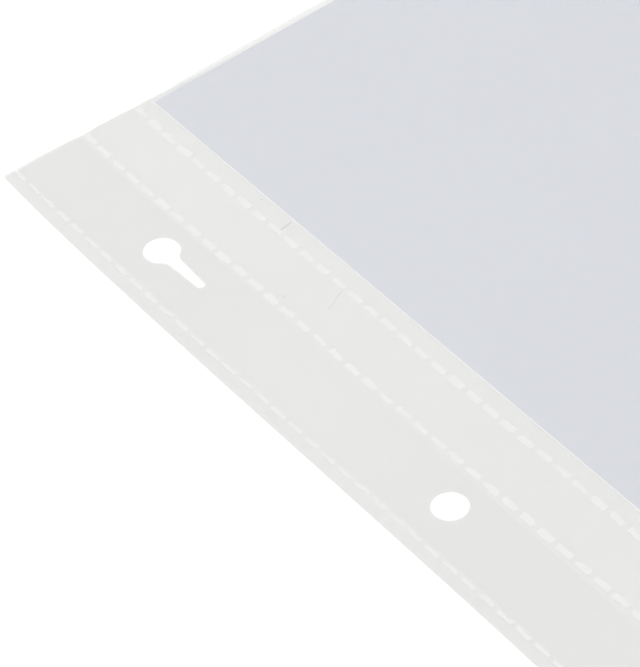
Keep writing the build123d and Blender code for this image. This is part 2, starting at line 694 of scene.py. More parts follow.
@dataclass(frozen=True)
class Lie:
    """How the layers of the pocket lie on the table.

    Attributes:
        plan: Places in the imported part.
        film: Thickness of a film.
        strip: Thickness of the strip.
        paper: Thickness of the sheet of paper.
        touch: Gap between layers that touch.
        bow: Rise of the low arch across the sheet.
        curl: Lift of the corner between the binding edge and the mouth.
        curl_reach: Distance from the mouth over which that lift dies away.
        ripple: Height of the slow waves along the binding margin.
        waves: Shares of those waves in that height, about one half of it.
        calm: Distance from the mouth over which the waves begin.
        ease: How far the front film stands off the sheet at the mouth.
        ease_reach: Distance from the mouth over which the front film comes down.
        stop: Distance over which the films part above the bottom weld.
        slack: Spare room between the films over the sheet.
        near_room: Distance beside the sheet's edge next to the binding margin where the films stay apart.
        far_room: The same distance beside its outer edge, larger for a sheet that lies askew.
    """

    plan: PocketPlan
    film: float = 0.035 * MM
    strip: float = 0.08 * MM
    paper: float = 0.065 * MM
    touch: float = 0.012 * MM
    bow: float = 1.9 * MM
    curl: float = 0.12 * MM
    curl_reach: float = 11.6 * MM
    ripple: float = 0.08 * MM
    waves: tuple[Wave, ...] = (Wave(0.3, 11 * MM, 0.4), Wave(0.2, 23 * MM, 2.0))
    calm: float = 40 * MM
    ease: float = 0.8 * MM
    ease_reach: float = 40 * MM
    stop: float = 0.1 * MM
    slack: float = 0.02 * MM
    near_room: float = 0.9 * MM
    far_room: float = 1.9 * MM

    def hump(self, x: np.ndarray) -> np.ndarray:
        """A hump across the sheet, from 0 at its edges to 1 in its middle."""
        span = self.plan.sheet.x
        return np.sin(np.pi * np.clip((x - span.low) / span.width, 0.0, 1.0))

    def margin(self, x: np.ndarray, y: np.ndarray) -> np.ndarray:
        """Height of the lifted corner and of the waves along the binding margin.

        Args:
            x: Places across.
            y: Places along.

        Returns:
            Heights, none of them below zero.
        """
        edge, mouth = self.plan.margin.x.low, self.plan.margin.y.high
        fall = 1.0 - eased(x, edge, self.plan.side_weld.x.low)
        corner = self.curl * np.exp((y - mouth) / self.curl_reach)
        slow = sum((wave.at(y) for wave in self.waves), 0.5)
        return fall * (corner + self.ripple * slow * np.clip((mouth - y) / self.calm, 0.0, 1.0))

    def gap(self, x: np.ndarray, y: np.ndarray) -> np.ndarray:
        """Gap between the films.

        Args:
            x: Places across.
            y: Places along.

        Returns:
            Gaps, with room for the strip and for the sheet where they lie and next to none where the films touch.
        """
        plan = self.plan
        strip = eased(x, plan.edge_weld.x.high, plan.strip.x.low)
        strip = strip * eased(x, plan.strip_weld.x.low, plan.strip.x.high)
        inner, outer = plan.sheet.x.low - self.near_room, plan.sheet.x.high + self.far_room
        sheet = eased(x, plan.side_weld.x.high, inner) * eased(x, plan.outer_weld.x.low, outer)
        shut = eased(y, plan.bottom_weld.y.high, plan.bottom_weld.y.high + self.stop)
        parted = np.maximum(strip * self.strip, sheet * shut * (self.paper + self.slack))
        return self.touch + parted * (1.0 + self.touch / self.strip)

    def base(self, layer: Layer, x: np.ndarray, y: np.ndarray) -> np.ndarray:
        """Height of a layer's lower face.

        Args:
            layer: The layer.
            x: Places across.
            y: Places along.

        Returns:
            Heights.
        """
        floor = self.plan.back.z.low + self.bow * self.hump(x) + self.margin(x, y)
        if layer is Layer.BACK:
            return floor
        if layer is Layer.MIDDLE:
            return floor + self.film + self.touch
        open_mouth = self.ease * self.hump(x) ** 2 * np.exp((y - self.plan.margin.y.high) / self.ease_reach)
        return floor + self.film + self.gap(x, y) + open_mouth


def inside(points: np.ndarray, loop: np.ndarray) -> np.ndarray:
    """Tell which points lie inside a closed outline.

    Args:
        points: Points in plan, one row each.
        loop: The outline's points.

    Returns:
        One truth value for each point.
    """
    low, high = loop.min(axis=0), loop.max(axis=0)
    near = np.flatnonzero(((points > low) & (points < high)).all(axis=1))
    x, y = points[near].T
    hits = np.zeros(len(near), dtype=bool)
    for (ax, ay), (bx, by) in zip(loop, np.roll(loop, -1, axis=0)):
        if ay != by:
            hits ^= ((ay > y) != (by > y)) & (x < (bx - ax) * (y - ay) / (by - ay) + ax)
    found = np.zeros(len(points), dtype=bool)
    found[near] = hits
    return found


def placed(name: str, data: bpy.types.ID) -> bpy.types.Object:
    """Add an object to the scene, at the origin.

    Args:
        name: Name of the object.
        data: Its mesh, light or camera.

    Returns:
        The object.
    """
    piece = bpy.data.objects.new(name, data)
    bpy.context.scene.collection.objects.link(piece)
    return piece


def smooth(mesh: bpy.types.Mesh, crease: float) -> None:
    """Shade a mesh smooth but for its sharper edges.

    Args:
        mesh: The mesh.
        crease: Sharpest angle in degrees that is shaded smooth.
    """
    mesh.shade_smooth()
    mesh.set_sharp_from_angle(angle=math.radians(crease))
    mesh.update()


def dress(piece: bpy.types.Object, node: str, body: Body) -> bpy.types.Object:
    """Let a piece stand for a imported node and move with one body.

    Args:
        piece: The piece.
        node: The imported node.
        body: The body.

    Returns:
        The piece.
    """
    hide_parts(node)
    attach(piece, body.value)
    return piece


@dataclass
class ThinSheet:
    """A thin layer cut from flat stock: an outline with holes, filled with a fine net and given its thickness.

    Attributes:
        name: Name of the piece.
        outline: Outer outline in plan, counterclockwise.
        holes: Outlines of the cut holes.
        columns: X of the net's columns.
        rows: Y of the net's rows.
        thickness: Distance between its two faces.
        layer: Which layer of the pocket it is.
        lie: How the pocket lies.
        spots: Outlines left open for weld dashes.
        more: Further points of the net, in plan.
        clear: Distance that the net keeps from any edge.
        rim: Width of the band along the sides of its box that thins out and shows the finish of its cut edges.
        feather: Share of its thickness that is left at an edge with such a band.
        move: Takes points of the flat cut to where they lie, or nothing if they lie where they were cut.
        crease: Sharpest angle in degrees that is shaded smooth.
    """

    name: str
    outline: np.ndarray
    holes: Sequence[np.ndarray]
    columns: np.ndarray
    rows: np.ndarray
    thickness: float
    layer: Layer
    lie: Lie
    spots: Sequence[np.ndarray] = ()
    more: np.ndarray = field(default_factory=lambda: np.empty((0, 2)))
    clear: float = 0.14 * MM
    rim: float = 0.0
    feather: float = 0.15
    move: Optional[Callable[[np.ndarray], np.ndarray]] = None
    crease: float = 50.0

    def _within(self, points: np.ndarray) -> np.ndarray:
        """Tell which points lie inside the outline and in none of its openings."""
        opened = [inside(points, opening) for opening in (*self.holes, *self.spots)]
        return inside(points, self.outline) & ~np.any([np.zeros(len(points), dtype=bool), *opened], axis=0)

    def _net(self) -> np.ndarray:
        """Inner points of the net.

        Returns:
            Points inside the outline that keep clear of every edge.
        """
        x, y = np.meshgrid(self.columns, self.rows)
        points = np.concatenate((pairs(x.ravel(), y.ravel()), self.more))
        edge = np.concatenate((self.outline, *self.holes, *self.spots))
        tree = KDTree(len(edge))
        for index, (ex, ey) in enumerate(edge):
            tree.insert((ex, ey, 0.0), index)
        tree.balance()
        return np.array([p for p in points[self._within(points)] if tree.find((*p, 0.0))[2] > self.clear])

    def _fill(self) -> tuple[np.ndarray, np.ndarray, np.ndarray]:
        """Fill the outline with triangles.

        Returns:
            The points in plan, the triangles, counterclockwise from above, and which points lie on a cut edge.
        """
        loops = (self.outline, *self.holes, *self.spots)
        edges: list[tuple[int, int]] = []
        for loop in loops:
            start, count = len(edges), len(loop)
            edges.extend((start + i, start + (i + 1) % count) for i in range(count))
        given = [Vector((float(x), float(y))) for x, y in np.concatenate((*loops, self._net()))]
        verts, _, faces, sources, _, _ = delaunay_2d_cdt(given, edges, [], 0, SAME_POINT)
        cuts = len(self.outline) + sum(len(hole) for hole in self.holes)
        cut = np.array([any(index < cuts for index in merged) for merged in sources])
        flat = np.array([(v.x, v.y) for v in verts])
        triangles = np.array([face for face in faces if len(face) == 3])
        triangles = triangles[self._within(flat[triangles].mean(axis=1))]
        a, b, c = (flat[triangles[:, i]] for i in range(3))
        turned = (b[:, 0] - a[:, 0]) * (c[:, 1] - a[:, 1]) - (b[:, 1] - a[:, 1]) * (c[:, 0] - a[:, 0]) < 0
        triangles[turned] = triangles[turned][:, ::-1]
        used, packed = np.unique(triangles, return_inverse=True)
        return flat[used], packed.reshape(triangles.shape), cut[used]

    def build(self, *finishes: bpy.types.Material) -> bpy.types.Object:
        """Make the piece.

        Args:
            finishes: Finish of its faces, of its cut edges and of the walls where it runs into a weld dash.

        Returns:
            The finished object, at the origin.
        """
        plan, triangles, cut = self._fill()
        count = len(plan)
        middles, corners = plan[triangles].mean(axis=1), (self.outline.min(axis=0), self.outline.max(axis=0))
        rimmed = np.minimum(middles - corners[0], corners[1] - middles).min(axis=1) < self.rim
        if self.move is not None:
            plan = self.move(plan)
        base = self.lie.base(self.layer, plan[:, 0], plan[:, 1])
        share = np.where(cut & (self.rim > 0.0), self.feather, 1.0)
        top = np.column_stack((plan, base + share * self.thickness))
        low = np.column_stack((plan, base))
        sides = np.concatenate((triangles[:, :2], triangles[:, 1:], triangles[:, [2, 0]]))
        directed = set(map(tuple, sides.tolist()))
        rim = [(b, a, a + count, b + count) for a, b in sorted(directed) if (b, a) not in directed]
        faces = triangles.tolist() + (triangles[:, ::-1] + count).tolist()
        mesh = bpy.data.meshes.new(self.name)
        mesh.from_pydata(np.concatenate((top, low)).tolist(), [], faces + rim)
        for material in finishes:
            mesh.materials.append(material)
        slots = rimmed.astype(int).tolist() * 2 + [1 if cut[a] and cut[b] else 2 for b, a, _, _ in rim]
        mesh.polygons.foreach_set("material_index", slots)
        smooth(mesh, self.crease)
        return placed(self.name, mesh)


class DashTree:
    """Geometry Nodes tree that lays a row of irregular weld dashes."""

    VECTORS = ("Start", "Step", "Dash Size", "Reach", "Taper", "Jitter", "Least Scale", "Most Scale", "Wander")
    SOCKETS = {
        **dict.fromkeys(VECTORS, "NodeSocketVector"),
        **dict.fromkeys(("Count", "Points X", "Points Y", "Seed"), "NodeSocketInt"),
        "Wander Scale": "NodeSocketFloat",
        "Material": "NodeSocketMaterial",
    }
    TWIST = (0.0, 0.0, 0.03)  # most that a dash is turned in plan, in radians
    UNTWIST = (0.0, 0.0, -0.03)
    SCALE_SEED = 7  # added to the row's seed for the dashes' sizes
    TWIST_SEED = 13  # and for their turns
    WANDER_SEED = 3.7  # the seed times this places the row in the noise
    MIDDLE = (0.5, 0.5, 0.5)  # what the noise is on average

    def __init__(self, name: str) -> None:
        """Build the tree.

        Args:
            name: Name of the tree.
        """
        self.tree = bpy.data.node_groups.new(name, "GeometryNodeTree")
        self.tree.is_modifier = True
        self.keys: dict[str, str] = {}
        for label, kind in self.SOCKETS.items():
            socket = self.tree.interface.new_socket(name=label, in_out="INPUT", socket_type=kind)
            self.keys[label] = socket.identifier
        self.tree.interface.new_socket(name="Geometry", in_out="OUTPUT", socket_type="NodeSocketGeometry")
        self._fill(Canvas(self.tree))

    def _fill(self, canvas: Canvas) -> None:
        """Add the tree's nodes.

        Args:
            canvas: The tree to fill.
        """
        group = canvas.node("NodeGroupInput").socket.node
        given = {label: Wire(canvas, group.outputs[label]) for label in self.SOCKETS}
        seed = given["Seed"]

        def drawn(low: Feed, high: Feed, draw: Wire) -> Wire:
            """A random vector for each dash."""
            feeds = {0: low, 1: high, "Seed": draw}
            return canvas.node("FunctionNodeRandomValue", {"data_type": "FLOAT_VECTOR"}, feeds)

        def moved(geometry: Wire, offset: Wire) -> Wire:
            """Geometry whose points are moved."""
            return canvas.node("GeometryNodeSetPosition", {}, {"Geometry": geometry, "Offset": offset})

        line = canvas.node(
            "GeometryNodeMeshLine",
            {"mode": "OFFSET", "count_mode": "TOTAL"},
            {"Count": given["Count"], "Start Location": given["Start"], "Offset": given["Step"]},
        )
        jitter = drawn(canvas.scaled(given["Jitter"], -1.0), given["Jitter"], seed)
        counts = {"Vertices X": given["Points X"], "Vertices Y": given["Points Y"], "Vertices Z": 2}
        block = canvas.node("GeometryNodeMeshCube", {}, {"Size": given["Dash Size"], **counts})
        spot = canvas.node("GeometryNodeInputPosition")
        share = canvas.vector("DOT_PRODUCT", spot, given["Reach"], "Value")
        narrow = share * share * (share * share)
        drawn_in = canvas.scaled(canvas.vector("MULTIPLY", spot, given["Taper"]), 0.0 - narrow)
        row = canvas.node(
            "GeometryNodeInstanceOnPoints",
            {},
            {
                "Points": moved(line, jitter),
                "Instance": moved(block, drawn_in),
                "Rotation": drawn(self.UNTWIST, self.TWIST, seed + self.TWIST_SEED),
                "Scale": drawn(given["Least Scale"], given["Most Scale"], seed + self.SCALE_SEED),
            },
        )
        real = canvas.node("GeometryNodeRealizeInstances", {}, {"Geometry": row})
        here = canvas.vector("MULTIPLY", canvas.node("GeometryNodeInputPosition"), IN_PLAN)
        cloud = canvas.node(
            "ShaderNodeTexNoise",
            {"noise_dimensions": "4D"},
            {"Vector": here, "W": seed * self.WANDER_SEED, "Scale": given["Wander Scale"], "Detail": 1.0},
            "Color",
        )
        wander = canvas.vector("MULTIPLY", canvas.vector("SUBTRACT", cloud, self.MIDDLE), given["Wander"])
        feeds = {"Geometry": moved(real, wander), "Material": given["Material"]}
        canvas.node("NodeGroupOutput", {}, {"Geometry": canvas.node("GeometryNodeSetMaterial", {}, feeds)})

    def apply(self, name: str, values: dict[str, Any]) -> bpy.types.Object:
        """Make a plain mesh object from the tree.

        Args:
            name: Name of the piece.
            values: Value of each named input.

        Returns:
            The piece, with no modifier left on it.
        """
        piece = placed(name, bpy.data.meshes.new(f"{name}_seed"))
        modifier = piece.modifiers.new("dashes", "NODES")
        modifier.node_group = self.tree
        for label, value in values.items():
            modifier[self.keys[label]] = value
        depsgraph = bpy.context.evaluated_depsgraph_get()
        mesh = bpy.data.meshes.new_from_object(piece.evaluated_get(depsgraph), depsgraph=depsgraph)
        mesh.name = name
        piece.modifiers.clear()
        piece.data = mesh
        return piece


@dataclass
class WeldRow:
    """One row of dashes where the two films are melted together.

    Attributes:
        weld: The weld that the row stands for.
        body: Body that it moves with.
        seed: Seed of its irregular shapes.
        plan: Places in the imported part.
        lie: How the pocket lies.
        finish: Finish of the dashes.
        dash: Length of a dash.
        pitch: Distance from a dash to the next.
        press: How far a dash lies in from the back film's outer face.
        skin: Thickness that the two films are pressed down to in a dash.
        taper: Share of its width that a dash loses at its ends.
        jitter: How far a dash may lie off its place, along the row and across it.
        least: Smallest scale of a dash, along and across.
        most: Largest scale of a dash, along and across.
        wander: How far a dash's outline strays, along and across.
        wander_size: Size of the features that it strays in.
        slim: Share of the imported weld's width that a dash has.
        lean: How far the row leans in at the mouth.
        lean_reach: Distance from the mouth over which it leans in.
        bow: How far the row bows in at the middle of its length.
        bow_reach: Half the length over which it bows in.
        end_gap: Least distance from a dash to the cut edge at the mouth or the bottom.
        sink: Least distance from a dash of the bottom row to where a dropped sheet stops.
        fine: Points along a dash.
        coarse: Points across a dash.
        crease: Sharpest angle in degrees that is shaded smooth.
        spots: Outlines that the films leave open for the dashes, known once the row is built.
    """

    weld: Weld
    body: Body
    seed: int
    plan: PocketPlan
    lie: Lie
    finish: Finish = FUSED_FILM
    dash: float = 3.65 * MM
    pitch: float = 4.55 * MM
    press: float = 0.008 * MM
    skin: float = 0.02 * MM
    taper: float = 0.1
    jitter: Pair = (0.08 * MM, 0.06 * MM)
    least: Pair = (0.9, 0.85)
    most: Pair = (1.0, 1.2)
    wander: Pair = (0.5 * MM, 1.0 * MM)
    wander_size: float = 1.4 * MM
    slim: float = 1.0
    lean: float = 0.6 * MM
    lean_reach: float = 6 * MM
    bow: float = 0.0
    bow_reach: float = 71 * MM
    end_gap: float = 0.42 * MM
    sink: float = 0.2 * MM
    fine: int = 8
    coarse: int = 3
    crease: float = 40.0
    spots: list[np.ndarray] = field(default_factory=list)

    @staticmethod
    def _ring(wide: int, tall: int) -> list[int]:
        """Places of a grid's outer points in its rows of points, counterclockwise.

        Args:
            wide: Points in a row.
            tall: Number of rows.

        Returns:
            The places.
        """
        grid = np.arange(wide * tall).reshape(tall, wide)
        return [*grid[0], *grid[1:, -1], *grid[-1, -2::-1], *grid[-2:0:-1, 0]]

    def build(self, tree: DashTree, face: bpy.types.Material) -> bpy.types.Object:
        """Make the row.

        Args:
            tree: The tree that lays dashes.
            face: The dashes' finish as a material.

        Returns:
            The row.
        """
        box = NodeBox.of(self.weld.value)
        lengthwise = box.y.width > box.x.width
        run, side = (box.y, box.x) if lengthwise else (box.x, box.y)
        count = round((run.width - self.dash) / self.pitch) + 1
        wide, tall = (self.coarse, self.fine) if lengthwise else (self.fine, self.coarse)

        def facing(along: float, aside: float, up: float = 0.0) -> Triple:
            """A vector given along the row, across it and up."""
            return (aside, along, up) if lengthwise else (along, aside, up)

        values = {
            "Count": count,
            "Start": facing(run.low + self.dash / 2, side.middle, self.press + self.skin / 2),
            "Step": facing(self.pitch, 0.0),
            "Dash Size": facing(self.dash, side.width * self.slim, self.skin),
            "Points X": wide,
            "Points Y": tall,
            "Reach": facing(2.0 / self.dash, 0.0),  # counts from 0 in a dash's middle to 1 at its ends
            "Taper": facing(0.0, self.taper),
            "Jitter": facing(*self.jitter),
            "Least Scale": facing(*self.least, 1.0),
            "Most Scale": facing(*self.most, 1.0),
            "Wander": facing(*self.wander),
            "Wander Scale": 1.0 / self.wander_size,
            "Seed": self.seed,
            "Material": face,
        }
        piece = tree.apply(self.weld.value.replace("_weld", "_dashes"), values)
        mesh = piece.data
        points = np.empty(len(mesh.vertices) * 3)
        mesh.vertices.foreach_get("co", points)
        points = points.reshape(-1, 3)
        length = self.plan.margin.y
        points[:, 1] = np.clip(points[:, 1], length.low + self.end_gap, length.high - self.end_gap)
        if lengthwise:
            lean = self.lean * np.exp((points[:, 1] - length.high) / self.lean_reach)
            points[:, 0] += lean + self.bow * np.exp(-((points[:, 1] / self.bow_reach) ** 2))
        for dash in points.reshape(count, 2, wide * tall, 3):
            if not lengthwise:
                dash[..., 1] -= max(0.0, dash[..., 1].max() - side.high + self.sink)
            self.spots.append(dash[1, self._ring(wide, tall), :2])
        points[:, 2] += self.lie.base(Layer.BACK, points[:, 0], points[:, 1])
        mesh.vertices.foreach_set("co", points.ravel())
        mesh.materials.clear()
        mesh.materials.append(face)
        mesh.polygons.foreach_set("material_index", [0] * len(mesh.polygons))
        smooth(mesh, self.crease)
        return dress(piece, self.weld.value, self.body)


@dataclass
class FilmPair:
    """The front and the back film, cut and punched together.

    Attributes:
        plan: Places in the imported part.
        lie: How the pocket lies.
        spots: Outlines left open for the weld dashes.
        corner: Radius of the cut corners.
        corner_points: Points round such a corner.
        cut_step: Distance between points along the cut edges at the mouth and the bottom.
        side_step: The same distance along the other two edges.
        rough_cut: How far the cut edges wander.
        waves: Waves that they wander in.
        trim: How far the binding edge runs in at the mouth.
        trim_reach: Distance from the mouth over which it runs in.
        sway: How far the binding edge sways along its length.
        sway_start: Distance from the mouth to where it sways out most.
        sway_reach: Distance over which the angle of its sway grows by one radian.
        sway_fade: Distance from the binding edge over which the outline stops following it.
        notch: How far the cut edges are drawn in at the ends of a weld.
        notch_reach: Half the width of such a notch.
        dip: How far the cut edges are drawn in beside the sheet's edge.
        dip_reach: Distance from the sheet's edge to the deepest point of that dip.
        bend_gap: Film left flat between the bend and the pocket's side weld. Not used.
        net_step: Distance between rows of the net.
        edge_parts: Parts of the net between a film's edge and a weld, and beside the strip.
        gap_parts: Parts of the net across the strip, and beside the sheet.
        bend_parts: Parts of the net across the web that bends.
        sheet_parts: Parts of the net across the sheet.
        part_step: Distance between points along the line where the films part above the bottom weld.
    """

    plan: PocketPlan
    lie: Lie
    spots: Sequence[np.ndarray]
    corner: float = 0.8 * MM
    corner_points: int = 4
    cut_step: float = 1.4 * MM
    side_step: float = 2.4 * MM
    rough_cut: float = 0.06 * MM
    waves: tuple[Wave, ...] = (Wave(1.0, 1.05 * MM), Wave(0.8, 2.3 * MM, 1.0), Wave(0.6, 5.1 * MM))
    trim: float = 0.75 * MM
    trim_reach: float = 11.5 * MM
    sway: float = 0.15 * MM
    sway_start: float = 58 * MM
    sway_reach: float = 21 * MM
    sway_fade: float = 2 * MM
    notch: float = 0.16 * MM
    notch_reach: float = 1.8 * MM
    dip: float = 0.25 * MM
    dip_reach: float = 3.2 * MM
    bend_gap: float = 0.2 * MM
    net_step: float = 3 * MM
    edge_parts: int = 3
    gap_parts: int = 7
    bend_parts: int = 16
    sheet_parts: int = 60
    part_step: float = 0.5 * MM

    def _wander(self, place: np.ndarray) -> np.ndarray:
        """How far a cut edge at the mouth or the bottom stands out, along its length.

        Args:
            place: Places across.

        Returns:
            Distances, all of them inward.
        """
        plan = self.plan
        tallest = sum(wave.height for wave in self.waves)
        out = self.rough_cut * (sum(wave.at(place) for wave in self.waves) / tallest - 1.0)
        for weld in (plan.edge_weld, plan.strip_weld, plan.side_weld, plan.outer_weld):
            out = out - self.notch * np.exp(-(((place - weld.x.middle) / self.notch_reach) ** 2))
        return out - self.dip * np.exp(-(((place - plan.sheet.x.low) / self.dip_reach - 1.0) ** 2))

    def outline(self) -> np.ndarray:
        """Outline of a film.

        Returns:
            Points in plan, counterclockwise.
        """
        left, right = self.plan.margin.x.low, self.plan.front.x.high
        low, high = self.plan.margin.y.low, self.plan.margin.y.high
        inset = self.corner
        across = np.arange(left + inset, right - inset, self.cut_step)
        along = np.arange(low + inset, high - inset, self.side_step)
        turn = np.linspace(0.0, 0.5 * np.pi, self.corner_points + 2)[1:-1]

        def arc(x: float, y: float, first: float) -> np.ndarray:
            """Points of one rounded corner."""
            return pairs(x + inset * np.cos(first + turn), y + inset * np.sin(first + turn))

        loop = np.concatenate(
            (
                pairs(across, low - self._wander(across)),
                arc(right - inset, low + inset, -0.5 * np.pi),
                pairs(right, along),
                arc(right - inset, high - inset, 0.0),
                pairs(across[::-1], high + self._wander(across[::-1])),
                arc(left + inset, high - inset, 0.5 * np.pi),
                pairs(left, along[::-1]),
                arc(left + inset, low + inset, np.pi),
            )
        )
        near = np.clip(1.0 - (loop[:, 0] - left) / self.sway_fade, 0.0, 1.0)
        down = high - loop[:, 1]
        sway = self.sway * np.cos((down - self.sway_start) / self.sway_reach)
        loop[:, 0] += near * (self.trim * np.exp(-down / self.trim_reach) - sway)
        return loop

    def columns(self) -> np.ndarray:
        """X of the net's columns, close together where the films bend.

        Returns:
            The columns, from the binding edge to the outer edge.
        """
        plan, strip, sheet = self.plan, self.plan.strip.x, self.plan.sheet.x
        edge, fold, outer = plan.margin.x.low, plan.margin.x.high, plan.front.x.high
        return np.concatenate(
            (
                between(edge, plan.edge_weld.x.low, self.edge_parts)[1:-1],
                between(plan.edge_weld.x.high, strip.low, self.edge_parts)[1:],
                between(strip.low, strip.high, self.gap_parts)[1:],
                between(strip.high, plan.strip_weld.x.low, self.edge_parts)[1:-1],
                between(fold, plan.side_weld.x.low, self.bend_parts)[:-1],
                between(plan.side_weld.x.high, sheet.low, self.gap_parts)[1:],
                between(sheet.low, sheet.high, self.sheet_parts)[1:],
                between(sheet.high, plan.outer_weld.x.low, self.gap_parts)[1:-1],
                between(plan.outer_weld.x.high, outer, self.edge_parts)[1:-1],
            )
        )

    def rows(self) -> np.ndarray:
        """Y of the net's rows.

        Returns:
            The rows, from the bottom to the mouth.
        """
        low, weld, high = self.plan.margin.y.low, self.plan.bottom_weld.y, self.plan.margin.y.high
        above = np.arange(weld.high + self.net_step / 2, high, self.net_step)
        return np.concatenate((between(low, weld.low, self.edge_parts)[1:-1], above))

    def parting(self) -> np.ndarray:
        """Points on both sides of the line above the bottom weld where the films part, and on it.

        Returns:
            Points in plan.
        """
        weld = self.plan.bottom_weld
        across = np.arange(weld.x.low, weld.x.high, self.part_step)
        return np.concatenate([pairs(across, weld.y.high + self.lie.stop * share) for share in (0.0, 0.5, 1.0)])

    def build(self, layer: Layer, *finishes: bpy.types.Material) -> bpy.types.Object:
        """Make one film.

        Args:
            layer: Which of the two films.
            finishes: Finish of its faces, of its cut edges and of the walls where it runs into a weld dash.

        Returns:
            The film.
        """
        name = f"{layer.value}_film"
        holes = [hole.loop() for hole in self.plan.holes]
        net = ThinSheet(name, self.outline(), holes, self.columns(), self.rows(), self.lie.film, layer, self.lie)
        net.spots, net.more = self.spots, self.parting()
        film = net.build(*finishes)
        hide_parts(f"{name}_margin", f"{name}_pocket")
        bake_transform(film)
        return film

    def flat_size(self) -> Pair:
        """Width and length that a film was cut to."""
        return (self.plan.front.x.high - self.plan.margin.x.low, self.plan.margin.y.width)


@dataclass
class MarginStrip:
    """The stiff strip between the films of the binding margin.

    Attributes:
        plan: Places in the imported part.
        lie: How the pocket lies.
        trim: How far its ends stop short of the films.
        long_parts: Parts of its net along it.
        wide_parts: Parts of its net across it.
    """

    plan: PocketPlan
    lie: Lie
    trim: float = 0.25 * MM
    long_parts: int = 128
    wide_parts: int = 7

    def build(self, face: bpy.types.Material) -> bpy.types.Object:
        """Make the strip.

        Args:
            face: Its finish.

        Returns:
            The strip.
        """
        box = self.plan.strip
        rows = between(box.y.low + self.trim, box.y.high - self.trim, self.long_parts)
        columns = between(box.x.low, box.x.high, self.wide_parts)[1:-1]
        outline = np.concatenate((pairs(box.x.high, rows), pairs(box.x.low, rows[::-1])))
        holes = [hole.loop() for hole in self.plan.holes]
        layer, thickness = Layer.MIDDLE, self.lie.strip
        net = ThinSheet("margin_strip", outline, holes, columns, rows[1:-1], thickness, layer, self.lie)
        return dress(net.build(face, face), "reinforcing_strip", Body.BINDING)


@dataclass
class InsertSheet:
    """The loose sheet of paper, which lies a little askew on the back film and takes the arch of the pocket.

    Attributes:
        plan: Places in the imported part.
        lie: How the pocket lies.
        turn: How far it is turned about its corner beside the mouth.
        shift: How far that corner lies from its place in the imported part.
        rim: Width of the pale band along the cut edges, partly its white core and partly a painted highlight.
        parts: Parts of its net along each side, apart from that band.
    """

    plan: PocketPlan
    lie: Lie
    turn: float = math.radians(0.24)
    shift: Pair = (-0.64 * MM, -0.06 * MM)
    rim: float = 0.18 * MM
    parts: int = 60

    def _askew(self, points: np.ndarray) -> np.ndarray:
        """Turn and shift points of the square sheet to where it lies.

        Args:
            points: Points in plan, one row each.

        Returns:
            The points where they lie.
        """
        corner = np.array((self.plan.sheet.x.low, self.plan.sheet.y.high))
        cos, sin = math.cos(self.turn), math.sin(self.turn)
        return corner + (points - corner) @ np.array(((cos, sin), (-sin, cos))) + np.array(self.shift)

    def _places(self, span: Span) -> np.ndarray:
        """Places of the net along one side, with the band at each end."""
        ends = (span.low + self.rim, span.high - self.rim)
        return np.insert(between(span.low, span.high, self.parts), (1, self.parts), ends)

    def build(self, face: bpy.types.Material, edge: bpy.types.Material) -> bpy.types.Object:
        """Make the sheet.

        Args:
            face: Finish of its faces.
            edge: Finish of its cut edges, its white core with a painted highlight.

        Returns:
            The sheet.
        """
        box = self.plan.sheet
        across, along = self._places(box.x), self._places(box.y)
        outline = np.concatenate(
            (
                pairs(across, box.y.low),
                pairs(box.x.high, along)[1:],
                pairs(across[::-1], box.y.high)[1:],
                pairs(box.x.low, along[::-1])[1:-1],
            )
        )
        layer, thickness = Layer.MIDDLE, self.lie.paper
        net = ThinSheet("paper_sheet", outline, [], across[1:-1], along[1:-1], thickness, layer, self.lie)
        net.rim, net.move = self.rim, self._askew
        return dress(net.build(face, edge), "insert_sheet", Body.SHEET)

    def flat_size(self) -> Pair:
        """Width and length of the sheet."""
        return (self.plan.sheet.x.width, self.plan.sheet.y.width)


@dataclass(frozen=True)
class Studio:
    """White table, even white surround and one large soft light.

    Attributes:
        reach: Half the table's width.
        drop: How far the table lies below the part, so that their faces don't share a plane.
        surround: Strength of the white surround.
        key_power: Power of the soft light.
        key_size: Width of the soft light.
        key_place: Where the soft light hangs.
        clear_layers: How many clear faces light may pass through.
    """

    reach: float = 4.0
    drop: float = 0.006 * MM
    surround: float = 0.97
    key_power: float = 10.9
    key_size: float = 1.4
    key_place: Triple = (-1.0, 0.9, 1.5)
    clear_layers: int = 32

    def build(self) -> None:
        """Set the table, the surround and the light."""
        corners = [(x * self.reach, y * self.reach, -self.drop) for x, y in ((-1, -1), (1, -1), (1, 1), (-1, 1))]
        mesh = bpy.data.meshes.new("table")
        mesh.from_pydata(corners, [], [(0, 1, 2, 3)])
        mesh.materials.append(WHITE_TABLE.material())
        placed("table", mesh)
        scene = bpy.context.scene
        scene.world = bpy.data.worlds.new("surround")
        scene.world.use_nodes = True
        background = next(node for node in scene.world.node_tree.nodes if node.type == "BACKGROUND")
        background.inputs["Color"].default_value = (1.0, 1.0, 1.0, 1.0)
        background.inputs["Strength"].default_value = self.surround
        light = bpy.data.lights.new("soft_light", "AREA")
        light.energy = self.key_power
        light.size = self.key_size
        lamp = placed("soft_light", light)
        lamp.location = self.key_place
        lamp.rotation_euler = (-Vector(self.key_place)).to_track_quat("-Z", "Y").to_euler()
        scene.view_settings.view_transform = "Standard"
        scene.view_settings.look = "None"
        scene.cycles.transparent_max_bounces = self.clear_layers


